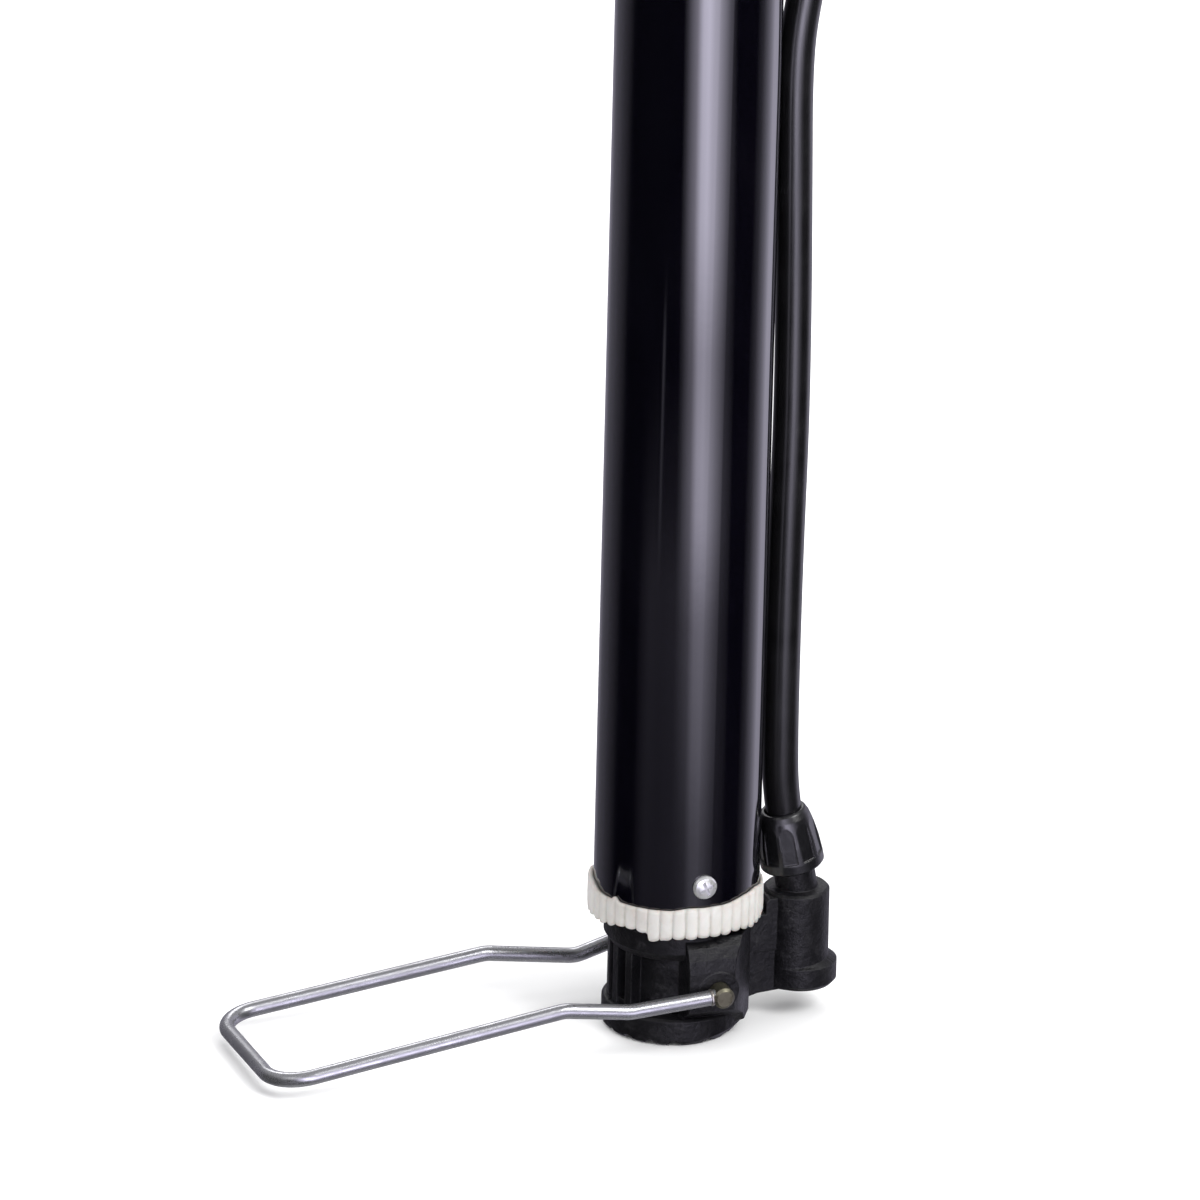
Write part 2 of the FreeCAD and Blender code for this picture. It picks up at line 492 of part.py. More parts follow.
hd = hd.cut(cyl_x(1.52, -20, 20, 0, 301.0))
save("handle_body", hd)


def grip(sgn):
    y0, y1 = 12.7, HANDLE_HALF - 3.2
    pts = [(7.46, y0), (10.6, y0), (11.0, y0 + 0.6)]
    n = 6
    step_y = (y1 - y0 - 2.4) / n
    for k in range(n):
        a = y0 + 1.2 + k * step_y
        pts += [(11.0, a), (10.3, a + 0.9), (10.3, a + step_y - 2.0), (11.0, a + step_y - 1.1)]
    pts += [(11.0, y1 - 0.6), (10.6, y1), (7.46, y1)]
    s = turned([(r, t) for r, t in pts])
    s.rotate(V(0, 0, 0), V(1, 0, 0), -90)        # +Z -> +Y
    if sgn < 0:
        s.rotate(V(0, 0, 0), V(0, 0, 1), 180)
    s.translate(V(0, 0, HANDLE_Z + 1.2))
    return s


save("handle_grip_right", grip(1))
save("handle_grip_left", grip(-1))
pin = cyl_x(1.48, -9.2, 9.2, 0, 301.0)
save("handle_pin", pin)
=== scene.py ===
import bpy
import bmesh
import math
import random
from mathutils import Matrix, Vector, noise


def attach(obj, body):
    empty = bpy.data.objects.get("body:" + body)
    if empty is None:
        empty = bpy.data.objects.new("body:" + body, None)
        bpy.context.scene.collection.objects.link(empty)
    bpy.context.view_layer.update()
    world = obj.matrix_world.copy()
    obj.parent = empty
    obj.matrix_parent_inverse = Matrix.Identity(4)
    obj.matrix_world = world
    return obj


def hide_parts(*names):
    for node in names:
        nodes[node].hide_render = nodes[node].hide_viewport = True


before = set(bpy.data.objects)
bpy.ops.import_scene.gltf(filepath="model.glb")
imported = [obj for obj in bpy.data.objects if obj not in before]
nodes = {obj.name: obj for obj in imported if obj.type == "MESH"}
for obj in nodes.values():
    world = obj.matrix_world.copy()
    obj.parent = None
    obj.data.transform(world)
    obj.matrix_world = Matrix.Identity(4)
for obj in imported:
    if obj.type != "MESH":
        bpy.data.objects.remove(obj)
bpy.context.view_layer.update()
scene = bpy.context.scene
MM = 0.001
scene.view_settings.view_transform = "Standard"
scene.view_settings.look = "None"


# ------------------------------------------------------------------ node tools
class Tree:
    """A short way to build a material's nodes."""

    def __init__(self, name, stage=False):
        self.m = bpy.data.materials.new(name)
        self.m.use_nodes = True
        self.t = self.m.node_tree
        self.t.nodes.clear()
        self.out = self.t.nodes.new("ShaderNodeOutputMaterial")

    def n(self, kind, **props):
        node = self.t.nodes.new("ShaderNode" + kind)
        for k, v in props.items():
            setattr(node, k, v)
        return node

    def link(self, a, b):
        self.t.links.new(a, b)

    def put(self, socket, value):
        if hasattr(value, "is_linked") or hasattr(value, "links"):
            self.link(value, socket)
        elif isinstance(value, (tuple, list)) and len(value) == 3 and socket.type == "RGBA":
            socket.default_value = (*value, 1.0)
        else:
            socket.default_value = value

    def coord(self, scale=(1, 1, 1), rot=(0, 0, 0), loc=(0, 0, 0)):
        tc = self.n("TexCoord")
        mp = self.n("Mapping")
        mp.inputs["Location"].default_value = loc
        mp.inputs["Rotation"].default_value = rot
        mp.inputs["Scale"].default_value = scale
        self.link(tc.outputs["Object"], mp.inputs["Vector"])
        return mp.outputs["Vector"]

    def noise(self, vec, scale, detail=4.0, rough=0.5, distort=0.0):
        x = self.n("TexNoise")
        self.put(x.inputs["Vector"], vec)
        x.inputs["Scale"].default_value = scale
        x.inputs["Detail"].default_value = detail
        x.inputs["Roughness"].default_value = rough
        x.inputs["Distortion"].default_value = distort
        return x.outputs["Fac"]

    def voronoi(self, vec, scale, feature="F1", out="Distance", rand=1.0):
        x = self.n("TexVoronoi", feature=feature)
        self.put(x.inputs["Vector"], vec)
        x.inputs["Scale"].default_value = scale
        x.inputs["Randomness"].default_value = rand
        return x.outputs[out]

    def ramp(self, fac, stops, interp="LINEAR"):
        r = self.n("ValToRGB")
        r.color_ramp.interpolation = interp
        els = r.color_ramp.elements
        while len(els) < len(stops):
            els.new(0.5)
        for e, (p, c) in zip(els, sorted(stops)):
            e.position = p
            e.color = (c, c, c, 1) if isinstance(c, (int, float)) else (*c, 1)
        self.link(fac, r.inputs["Fac"])
        return r.outputs["Color"]

    def math(self, op, a, b=0.0, clamp=False):
        m = self.n("Math", operation=op, use_clamp=clamp)
        self.put(m.inputs[0], a)
        self.put(m.inputs[1], b)
        return m.outputs[0]

    def mix(self, fac, a, b, kind="MIX"):
        m = self.n("Mix", data_type="RGBA", blend_type=kind)
        self.put(m.inputs[0], fac)
        self.put(m.inputs[6], a)
        self.put(m.inputs[7], b)
        return m.outputs[2]

    def vary(self, fac, lo, hi):
        m = self.n("MapRange")
        self.put(m.inputs["Value"], fac)
        m.inputs["To Min"].default_value = lo
        m.inputs["To Max"].default_value = hi
        return m.outputs[0]

    def span(self, fac, lo, hi, a=0.0, b=1.0):
        m = self.n("MapRange", clamp=True)
        self.put(m.inputs["Value"], fac)
        m.inputs["From Min"].default_value = lo
        m.inputs["From Max"].default_value = hi
        m.inputs["To Min"].default_value = a
        m.inputs["To Max"].default_value = b
        return m.outputs[0]

    def soft_edges(self, radius, samples=6):
        b = self.n("Bevel", samples=samples)
        b.inputs["Radius"].default_value = radius
        return b.outputs["Normal"]

    def edge_mask(self, bevelled, lo=0.02, hi=0.25):
        g = self.n("NewGeometry")
        d = self.n("VectorMath", operation="DOT_PRODUCT")
        self.link(bevelled, d.inputs[0])
        self.link(g.outputs["Normal"], d.inputs[1])
        one = self.math("SUBTRACT", 1.0, d.outputs["Value"])
        return self.span(one, lo, hi)

    def bump(self, height, distance, strength=1.0, normal=None):
        b = self.n("Bump")
        b.inputs["Strength"].default_value = strength
        b.inputs["Distance"].default_value = distance
        self.link(height, b.inputs["Height"])
        if normal is not None:
            self.link(normal, b.inputs["Normal"])
        return b.outputs["Normal"]

    def shader(self, color, rough, normal=None, **kw):
        p = self.n("BsdfPrincipled")
        self.put(p.inputs["Base Color"], color)
        self.put(p.inputs["Roughness"], rough)
        if normal is not None:
            self.link(normal, p.inputs["Normal"])
        for k, v in kw.items():
            p.inputs[k.replace("_", " ")].default_value = v
        self.link(p.outputs[0], self.out.inputs[0])
        self.p = p
        return self.m


# ------------------------------------------------------------------- materials
def moulded(name, base, rough=(0.42, 0.62), grain=0.00004, grain_scale=1500.0, wear=0.35, edge=0.00035, bright=1.0, spec=0.5):
    """Moulded plastic: spark-eroded grain, faint flow marks, rubbed edges, settled dust."""
    t = Tree(name)
    v = t.coord()
    fine = t.noise(v, grain_scale, 3.0, 0.6)
    mid = t.noise(v, grain_scale * 0.22, 4.0, 0.6)
    flow = t.noise(t.coord(scale=(1, 1, 0.25)), 160.0, 5.0, 0.65, 0.6)
    blot = t.noise(v, 45.0, 4.0, 0.55)
    nrm = t.soft_edges(edge)
    wornf = t.math("MULTIPLY", t.edge_mask(nrm, 0.015, 0.22), t.span(blot, 0.35, 0.62))
    dust = t.span(t.noise(v, 320.0, 6.0, 0.7), 0.56, 0.78)
    dark = tuple(c * 0.72 for c in base)
    light = tuple(min(1.0, c * 1.35 + 0.001) for c in base)
    col = t.mix(t.span(flow, 0.3, 0.7), dark, light)
    col = t.mix(t.math("MULTIPLY", dust, 0.22), col, tuple(min(1, c + 0.030 * bright) for c in base))
    col = t.mix(t.math("MULTIPLY", wornf, wear), col, tuple(min(1, c * 2.2 + 0.060 * bright) for c in base))
    r = t.vary(t.math("ADD", t.math("MULTIPLY", flow, 0.55), t.math("MULTIPLY", mid, 0.45)), rough[0], rough[1])
    h = t.math("ADD", t.math("MULTIPLY", fine, 0.6), t.math("MULTIPLY", mid, 1.0))
    return t.shader(col, r, t.bump(h, grain * 2.2, 1.0, nrm), Specular_IOR_Level=spec)


def paint_black():
    """Gloss black enamel on steel tube: orange peel, fine up-and-down hairlines, dust specks."""
    t = Tree("paint_barrel_gloss")
    v = t.coord()
    peel = t.noise(v, 420.0, 2.0, 0.5)
    wave = t.noise(t.coord(scale=(1, 1, 0.12)), 70.0, 2.0, 0.5)
    hair = t.noise(t.coord(scale=(1, 1, 0.012)), 2600.0, 3.0, 0.7)
    hairf = t.span(hair, 0.60, 0.78)
    speck = t.span(t.voronoi(v, 260.0), 0.05, 0.0)
    specks = t.math("MULTIPLY", speck, t.span(t.noise(v, 90.0, 2.0), 0.56, 0.66))
    smear = t.noise(t.coord(scale=(1, 1, 0.35)), 55.0, 5.0, 0.6, 0.8)
    col = t.mix(t.span(smear, 0.35, 0.75), (0.0012, 0.0010, 0.0026), (0.0024, 0.0021, 0.0042))
    col = t.mix(t.math("MULTIPLY", specks, 0.45), col, (0.11, 0.11, 0.11))
    r = t.math("ADD", t.span(smear, 0.3, 0.8, 0.055, 0.105), t.math("MULTIPLY", hairf, 0.07))
    h = t.math("ADD", t.math("MULTIPLY", peel, 0.5), t.math("MULTIPLY", wave, 1.0))
    nrm = t.bump(h, 0.000012, 1.0)
    return t.shader(col, r, nrm, Coat_Weight=1.0, Coat_Roughness=0.03, Coat_IOR=1.5, Specular_IOR_Level=0.5)


def zinc(name, base=(0.66, 0.66, 0.68), rough=(0.20, 0.38), axis_scale=(0.06, 1, 1), metallic=1.0):
    """Bright zinc plate on steel: drawn lines, blotches of duller plate, faint dark specks."""
    t = Tree(name)
    v = t.coord()
    draw = t.noise(t.coord(scale=axis_scale), 2200.0, 3.0, 0.65)
    blot = t.noise(v, 130.0, 5.0, 0.62, 0.5)
    fine = t.noise(v, 1400.0, 3.0, 0.6)
    pits = t.span(t.voronoi(v, 750.0), 0.09, 0.0)
    pits = t.math("MULTIPLY", pits, t.span(blot, 0.50, 0.66))
    dull = tuple(c * 0.72 for c in base)
    col = t.mix(t.span(blot, 0.34, 0.68), base, dull)
    col = t.mix(t.math("MULTIPLY", pits, 0.6), col, (0.16, 0.15, 0.13))
    r = t.math("ADD", t.span(blot, 0.3, 0.7, rough[0], rough[1]), t.span(draw, 0.4, 0.7, -0.03, 0.05))
    h = t.math("ADD", t.math("MULTIPLY", draw, 0.7), t.math("MULTIPLY", fine, 0.5))
    return t.shader(col, r, t.bump(h, 0.00002), Metallic=metallic)


def metal(name, base, rough=(0.15, 0.3), scale=(1, 1, 1), line=2400.0, dist=0.000012, spots=None, spot=0.5, dullness=0.7):
    t = Tree(name)
    v = t.coord()
    lines = t.noise(t.coord(scale=scale), line, 3.0, 0.6)
    blot = t.noise(v, 210.0, 5.0, 0.6, 0.4)
    dull = tuple(c * dullness for c in base)
    col = t.mix(t.span(blot, 0.32, 0.7), base, dull)
    if spots is not None:
        col = t.mix(t.math("MULTIPLY", t.span(t.noise(v, 620.0, 4.0, 0.65), 0.5, 0.7), spot), col, spots)
    r = t.math("ADD", t.span(blot, 0.3, 0.7, rough[0], rough[1]), t.span(lines, 0.4, 0.7, -0.02, 0.05))
    return t.shader(col, r, t.bump(lines, dist), Metallic=1.0)


def rubber(name, base=(0.012, 0.012, 0.013), rough=(0.38, 0.58), lines=None, grain=0.00003, spec=0.5):
    """Black rubber: fine skin, extrusion lines where it is a hose, pale bloom and scuffs."""
    t = Tree(name)
    v = t.coord()
    fine = t.noise(v, 2600.0, 3.0, 0.6)
    blot = t.noise(v, 95.0, 5.0, 0.6, 0.5)
    scuff = t.span(t.noise(t.coord(scale=(1, 1, 0.3)), 480.0, 5.0, 0.7), 0.60, 0.80)
    scuff = t.math("MULTIPLY", scuff, t.span(blot, 0.42, 0.62))
    light = tuple(c * 1.6 + 0.001 for c in base)
    col = t.mix(t.span(blot, 0.35, 0.7), base, light)
    col = t.mix(t.math("MULTIPLY", scuff, 0.35), col, (0.045, 0.045, 0.045))
    r = t.span(blot, 0.3, 0.7, rough[0], rough[1])
    h = t.math("MULTIPLY", fine, 1.0)
    if lines is not None:
        ex = t.noise(t.coord(scale=lines), 1500.0, 2.0, 0.5)
        h = t.math("ADD", h, t.math("MULTIPLY", ex, 1.2))
        r = t.math("ADD", r, t.span(ex, 0.4, 0.7, -0.03, 0.05))
    return t.shader(col, r, t.bump(h, grain), Specular_IOR_Level=spec)


def collar_cream():
    """Off-white moulded band: warm tint, painted shade darkening the grooves, patchy grime weighted into the grooves,
    a slightly waxy skin.
    """
    t = Tree("plastic_collar_cream")
    v = t.coord()
    sep = t.n("SeparateXYZ")
    t.link(v, sep.inputs[0])
    rad = t.math("SQRT", t.math("ADD", t.math("MULTIPLY", sep.outputs[0], sep.outputs[0]), t.math("MULTIPLY", sep.outputs[1], sep.outputs[1])))
    # painted shade: a mask on the teeth's inner radius that darkens the grooves between the crowns
    groove_shade = t.span(rad, 0.01672, 0.01648)
    blot = t.noise(v, 150.0, 5.0, 0.6, 0.6)
    grime = t.span(t.noise(v, 520.0, 6.0, 0.7, 0.3), 0.50, 0.72)
    base = t.mix(t.span(blot, 0.3, 0.7), (0.52, 0.495, 0.465), (0.61, 0.60, 0.585))
    # painted shade laid into the grooves as a darker cream
    col = t.mix(t.math("MULTIPLY", groove_shade, 0.38), base, (0.40, 0.37, 0.335))
    # patchy grime, weighted into the grooves by the painted shade mask
    col = t.mix(t.math("MULTIPLY", grime, t.math("ADD", t.math("MULTIPLY", groove_shade, 0.35), 0.06)), col, (0.30, 0.26, 0.20))
    edge = t.span(sep.outputs[2], 0.0238, 0.0232)
    col = t.mix(t.math("MULTIPLY", t.math("MULTIPLY", edge, grime), 0.5), col, (0.20, 0.17, 0.13))
    h = t.math("ADD", t.noise(v, 1900.0, 3.0, 0.6), t.math("MULTIPLY", blot, 1.0))
    m = t.shader(col, t.span(blot, 0.3, 0.7, 0.42, 0.60), t.bump(h, 0.00003), Subsurface_Weight=0.12, Subsurface_Scale=0.001)
    return m


def rough_base():
    """The base's regrind plastic: a coarse uneven skin, pale rubbed patches, faint scratches and rubbed edges."""
    t = Tree("plastic_base_rough")
    v = t.coord()
    lump = t.noise(v, 330.0, 4.0, 0.6, 0.3)
    fine = t.noise(v, 1300.0, 4.0, 0.65)
    spark = t.noise(v, 3200.0, 2.0, 0.6)
    patch = t.noise(t.coord(loc=(0.03, 0.01, 0.0)), 135.0, 5.0, 0.66, 0.7)
    nrm = t.soft_edges(0.0004)
    worn = t.math("MULTIPLY", t.edge_mask(nrm, 0.015, 0.22), t.span(patch, 0.30, 0.60))
    col = t.mix(t.span(lump, 0.35, 0.68), (0.0036, 0.0034, 0.0044), (0.0078, 0.0075, 0.0090))
    pale = t.math("MULTIPLY", t.span(patch, 0.50, 0.70), t.span(fine, 0.42, 0.66))
    col = t.mix(t.math("MULTIPLY", pale, 0.70), col, (0.040, 0.039, 0.042))
    scr = t.noise(t.coord(scale=(1, 1, 0.10), rot=(0.4, 0.7, 0.0)), 900.0, 3.0, 0.7)
    col = t.mix(t.math("MULTIPLY", t.span(scr, 0.64, 0.76), 0.35), col, (0.050, 0.050, 0.052))
    col = t.mix(t.math("MULTIPLY", worn, 0.40), col, (0.070, 0.070, 0.074))
    r = t.math("ADD", t.span(patch, 0.3, 0.7, 0.30, 0.52), t.span(fine, 0.3, 0.7, -0.03, 0.06))
    h = t.math("ADD", t.math("MULTIPLY", lump, 1.6), t.math("ADD", t.math("MULTIPLY", fine, 0.7), t.math("MULTIPLY", spark, 0.25)))
    return t.shader(col, r, t.bump(h, 0.00016, 1.0, nrm), Specular_IOR_Level=0.25)


M = {
    "base": rough_base(),
    "cap": moulded("plastic_cap_black", (0.0075, 0.0074, 0.0085), rough=(0.40, 0.58), wear=0.25, spec=0.35),
    "gland": moulded("plastic_gland_black", (0.0075, 0.0074, 0.0088), rough=(0.18, 0.32), grain=0.000015, wear=0.35, spec=0.6),
    "head": moulded("plastic_head_black", (0.0075, 0.0074, 0.0085), rough=(0.34, 0.52), wear=0.25, spec=0.35),
    "lever": moulded("plastic_lever_black", (0.0080, 0.0080, 0.0092), rough=(0.16, 0.30), grain=0.000015, wear=0.30, spec=0.5),
    "clip": moulded("plastic_clip_black", (0.0075, 0.0074, 0.0085), rough=(0.38, 0.56), wear=0.25, spec=0.35),
    "handle": moulded("plastic_handle_black", (0.0075, 0.0074, 0.0085), rough=(0.38, 0.58), wear=0.30, spec=0.35),
    "bush": moulded("plastic_bush_grey", (0.42, 0.42, 0.41), rough=(0.35, 0.5), wear=0.1),
    "nylon": moulded("plastic_nylon_natural", (0.60, 0.58, 0.53), rough=(0.35, 0.5), wear=0.1),
    "paint": paint_black(),
    "cream": collar_cream(),
    "wire": zinc("zinc_foot_wire", base=(0.40, 0.40, 0.423), axis_scale=(0.05, 1, 1), metallic=0.85),
    "screw": zinc("zinc_screws", base=(0.85, 0.85, 0.86), rough=(0.22, 0.36), axis_scale=(1, 1, 1), metallic=0.70),
    "weld": metal("steel_weld", (0.42, 0.40, 0.37), (0.35, 0.55), line=1500.0, dist=0.00004, spots=(0.10, 0.08, 0.06), spot=0.7),
    "pivot": metal("brass_pivot_dull", (0.17, 0.16, 0.115), (0.40, 0.60), line=1700.0, dist=0.00003, spots=(0.07, 0.062, 0.04), spot=0.75),
    "brass": metal("brass_turned", (0.72, 0.55, 0.28), (0.18, 0.34), scale=(1, 1, 30), line=500.0, spots=(0.35, 0.24, 0.10), spot=0.3),
    "chrome": metal("steel_rod_polished", (0.72, 0.72, 0.73), (0.06, 0.12), scale=(1, 1, 0.03), line=3000.0, dist=0.000004, spots=(0.55, 0.55, 0.57), spot=0.10, dullness=0.92),
    "ball": metal("steel_ball", (0.75, 0.75, 0.76), (0.05, 0.10), dist=0.000002),
    "spring": metal("steel_spring_wire", (0.50, 0.50, 0.52), (0.22, 0.36), dist=0.00001, spots=(0.2, 0.19, 0.18)),
    "ferrule": metal("aluminium_ferrule", (0.62, 0.62, 0.64), (0.25, 0.42), scale=(1, 1, 20), line=600.0, dist=0.00002, spots=(0.4, 0.4, 0.4)),
    "hose": rubber("rubber_hose", (0.0055, 0.0053, 0.0062), (0.15, 0.24), lines=(1, 1, 0.02), grain=0.000012),
    "seal": rubber("rubber_seal", (0.014, 0.014, 0.014), (0.42, 0.6)),
    "grip": rubber("rubber_grip", (0.018, 0.018, 0.019), (0.55, 0.75), grain=0.00006, spec=0.4),
}
NODE_MATERIAL = {
    "base_housing": "base", "collar_ring": "cream", "barrel_tube": "paint", "base_screws": "screw", "cap_screws": "screw",
    "barrel_seal": "seal", "check_valve_seat": "brass", "check_valve_ball": "ball", "check_valve_spring": "spring",
    "outlet_nipple": "brass", "gland_nut": "gland", "hose": "hose", "hose_ferrule": "ferrule", "valve_head_body": "head",
    "valve_head_nose": "head", "valve_head_gasket": "seal", "valve_depressor": "nylon", "lever_pin": "screw", "hose_clip": "clip",
    "clip_screw": "screw", "clip_nut": "screw", "top_cap": "cap", "rod_guide_bush": "bush", "piston_head": "nylon",
    "piston_cup": "seal", "piston_washer": "screw", "piston_buffer": "seal", "piston_rod": "chrome", "piston_nut": "screw",
    "handle_body": "handle", "handle_grip_left": "grip", "handle_grip_right": "grip", "handle_pin": "screw",
    "foot_wire": "wire", "foot_pivot_rod": "pivot", "valve_head_lever": "lever",
}
for name, o in nodes.items():
    m = M[NODE_MATERIAL[name]]
    if not o.data.materials:
        o.data.materials.append(m)
    for i in range(len(o.data.materials)):
        o.data.materials[i] = m


def mesh_piece(name, verts, faces, body, material, smooth=True, replaces=()):
    me = bpy.data.meshes.new(name)
    me.from_pydata([tuple(v) for v in verts], [], faces)
    me.validate()
    bm = bmesh.new()
    bm.from_mesh(me)
    bmesh.ops.recalc_face_normals(bm, faces=bm.faces)
    bm.to_mesh(me)
    bm.free()
    if smooth:
        for p in me.polygons:
            p.use_smooth = True
    o = bpy.data.objects.new(name, me)
    scene.collection.objects.link(o)
    o.data.materials.append(M[material])
    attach(o, body)
    if replaces:
        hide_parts(*replaces)
    return o


# ---------------------------------------------------------------------- camera
AZ, EL, ROLL = math.radians(-19.5), math.radians(22.3), math.radians(1.4)
PX = 5.19            # picture points per millimetre, in a 1200 point frame
DIST = 4.5
right = Vector((math.cos(AZ), math.sin(AZ), 0.0))
back = Vector((math.sin(AZ) * math.cos(EL), -math.cos(AZ) * math.cos(EL), math.sin(EL)))
up = back.cross(right)
cam_right = right * math.cos(ROLL) + up * math.sin(ROLL)
cam_up = up * math.cos(ROLL) - right * math.sin(ROLL)
target = cam_right * ((600 - 672.8) / PX * MM) + cam_up * ((1018 - 600) / PX * MM)
eye = target + back * DIST
cam_data = bpy.data.cameras.new("camera_main")
cam = bpy.data.objects.new("camera_main", cam_data)
scene.collection.objects.link(cam)
rot = Matrix((cam_right, cam_up, back)).transposed()
cam.matrix_world = Matrix.Translation(eye) @ rot.to_4x4()
cam_data.sensor_width = 36.0
cam_data.lens = 36.0 * DIST / (1200.0 / PX * MM)
cam_data.clip_start = 0.1
cam_data.clip_end = 100.0
scene.camera = cam

# ------------------------------------------------------------------------ hose
HOSE_ROUTE = [
    (22.82, 0.0, 33.94), (20.83, 0.0, 43.70), (20.40, 0.0, 56.0),
    (20.35, 0.0, 76.0), (20.5, 0.0, 98.0), (20.92, 0.0, 121.0),
    (20.72, 0.0, 146.0), (20.2, 0.0, 170.0), (19.66, 0.0, 193.0),
    (20.45, 0.0, 205.0), (24.4, 0.0, 225.0), (24.4, 0.0, 236.0),
]
curve = bpy.data.curves.new("hose_tube", "CURVE")
curve.dimensions = "3D"
sp = curve.splines.new("NURBS")
sp.points.add(len(HOSE_ROUTE) - 1)
for p, c in zip(sp.points, HOSE_ROUTE):
    p.co = (c[0] * MM, c[1] * MM, c[2] * MM, 1.0)
sp.order_u = 3
sp.use_endpoint_u = True
sp.resolution_u = 24
curve.bevel_depth = 0.0035
curve.bevel_resolution = 10
curve.use_fill_caps = True
hose = bpy.data.objects.new("hose_tube", curve)
scene.collection.objects.link(hose)
curve.materials.append(M["hose"])
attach(hose, "pump_body")
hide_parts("hose")

# ------------------------------------------------------------------ collar band
random.seed(7)
CAM_ANGLE = -90.0 + math.degrees(AZ)      # the azimuth that faces the camera


def collar():
    """The serrated band: 42 teeth, an uneven lower edge and a small tip on its left."""
    teeth, per = 42, 12
    n = teeth * per
    rows = 9
    r_in, r_tip, r_root = 16.03, 16.80, 16.44
    tooth_h = [random.uniform(-0.06, 0.05) for _ in range(teeth)]
    tooth_low = [random.uniform(-0.22, 0.16) for _ in range(teeth)]
    tooth_up = [random.uniform(-0.05, 0.05) for _ in range(teeth)]
    verts, ring_rows = [], []

    def lift(rel, table):
        """A height read off a table of (angle from the camera's side, mm)."""
        for (a0, v0), (a1, v1) in zip(table, table[1:]):
            if a0 <= rel <= a1:
                f = (rel - a0) / (a1 - a0)
                f = f * f * (3 - 2 * f)
                return v0 + (v1 - v0) * f
        return table[-1][1]

    top_table = [(-180, 0.3), (-110, 0.6), (-90, 1.25), (-76, 0.9), (-64, 0.05), (-20, 0.0), (-5, 0.1), (10, 0.65), (34, 0.55),
                 (56, 1.15), (66, 1.35), (86, 0.5), (110, 0.3), (180, 0.3)]
    low_table = [(-180, 0.0), (-60, 0.0), (-50, 0.45), (-40, 0.95), (-25, 1.02), (-20.5, 0.95), (-17.5, -0.62), (-11, -0.45), (-7, 0.1),
                 (28, 0.12), (44, 0.35), (58, -0.25), (70, -0.4), (90, -0.1), (180, 0.0)]

    def outline(i):
        a = 360.0 * i / n
        k, f = divmod(i, per)
        f = f / per
        s = abs(math.sin(math.pi * f)) ** 0.5          # broad crowns, narrow grooves
        rel = (a - CAM_ANGLE + 540.0) % 360.0 - 180.0  # 0 faces the camera, + to the right
        r = r_root + (r_tip - r_root) * s + tooth_h[k] * s
        r += 0.32 * math.exp(-((rel + 84.0) / 20.0) ** 2)
        lo = 23.30 + lift(rel, low_table) + tooth_low[k] * s + 0.42 * (1 - s)
        hi = 29.2 + lift(rel, top_table) + tooth_up[k] * s - 0.03 * (1 - s)
        hi += 0.80 * math.exp(-((rel + 45.5) / 2.4) ** 2)
        hi += 0.45 * math.exp(-((rel + 88.0) / 2.4) ** 2)
        return math.radians(a), r, lo, hi

    inner_lo, inner_hi = [], []
    for j in range(rows):
        ring_rows.append([])
    for i in range(n):
        a, r, lo, hi = outline(i)
        c, s = math.cos(a), math.sin(a)
        for j in range(rows):
            f = j / (rows - 1)
            z = lo + (hi - lo) * f
            rr = r - 0.16 * (abs(2 * f - 1) ** 7)
            rr += 0.045 * noise.noise(Vector((c * 11, s * 11, z * 1.1)))
            ring_rows[j].append(len(verts))
            verts.append((rr * c, rr * s, z))
        inner_lo.append(len(verts))
        verts.append((r_in * c, r_in * s, lo + 0.12))
        inner_hi.append(len(verts))
        verts.append((r_in * c, r_in * s, hi - 0.10))
    faces = []
    for i in range(n):
        k = (i + 1) % n
        for j in range(rows - 1):
            faces.append((ring_rows[j][i], ring_rows[j][k], ring_rows[j + 1][k], ring_rows[j + 1][i]))
        faces.append((ring_rows[-1][i], ring_rows[-1][k], inner_hi[k], inner_hi[i]))
        faces.append((inner_lo[i], inner_lo[k], ring_rows[0][k], ring_rows[0][i]))
        faces.append((inner_hi[i], inner_hi[k], inner_lo[k], inner_lo[i]))
    return mesh_piece("collar_band", [(x * MM, y * MM, z * MM) for x, y, z in verts], faces, "pump_body", "cream",
                      replaces=("collar_ring",))


band = collar()


# ----------------------------------------------------------------- weld beads
def bead(name, centre, axis, r, thick, body, seed):
    """A small lumpy ring of weld metal round a wire's end."""
    axis = Vector(axis).normalized()
    side = axis.orthogonal().normalized()
    other = axis.cross(side)
    nu, nv = 40, 12
    verts, faces = [], []
    for i in range(nu):
        a = 2 * math.pi * i / nu
        d = side * math.cos(a) + other * math.sin(a)
        lump = 1.0 + 0.30 * noise.noise(Vector((math.cos(a) * 1.7, math.sin(a) * 1.7, seed)))
        for j in range(nv):
            b = 2 * math.pi * j / nv
            p = Vector(centre) + d * (r + thick * lump * math.cos(b)) + axis * (thick * 1.25 * lump * math.sin(b))
            verts.append(p * MM)
    for i in range(nu):
        for j in range(nv):
            i2, j2 = (i + 1) % nu, (j + 1) % nv
            faces.append((i * nv + j, i2 * nv + j, i2 * nv + j2, i * nv + j2))
    return mesh_piece(name, verts, faces, body, "weld")


PIV = (3.3, 11.9)
for sgn, tag, nxt in ((-1, "right", (-15.3, -18.5, 10.7)), (1, "left", (-13.7, 18.5, 7.1))):
    start = Vector((PIV[0] - 1.0, sgn * 18.6, PIV[1]))
    d = (Vector(nxt) - start).normalized()
    bead("weld_bead_" + tag, start + d * 1.25, d, 1.38, 0.30, "foot_rest", 3.0 + sgn)

# ---------------------------------------------------------------------- floor
floor_mat = Tree("stage_floor")
fv = floor_mat.coord()
fc = floor_mat.mix(floor_mat.noise(fv, 3.0, 3.0), (0.955, 0.955, 0.955), (0.975, 0.975, 0.975))
floor_mat.shader(fc, 0.9, Specular_IOR_Level=0.1)
bpy.ops.mesh.primitive_plane_add(size=40, location=(0, 0, 0))
floor = bpy.context.object
floor.name = "stage_floor"
floor.data.materials.append(floor_mat.m)
floor.visible_glossy = False

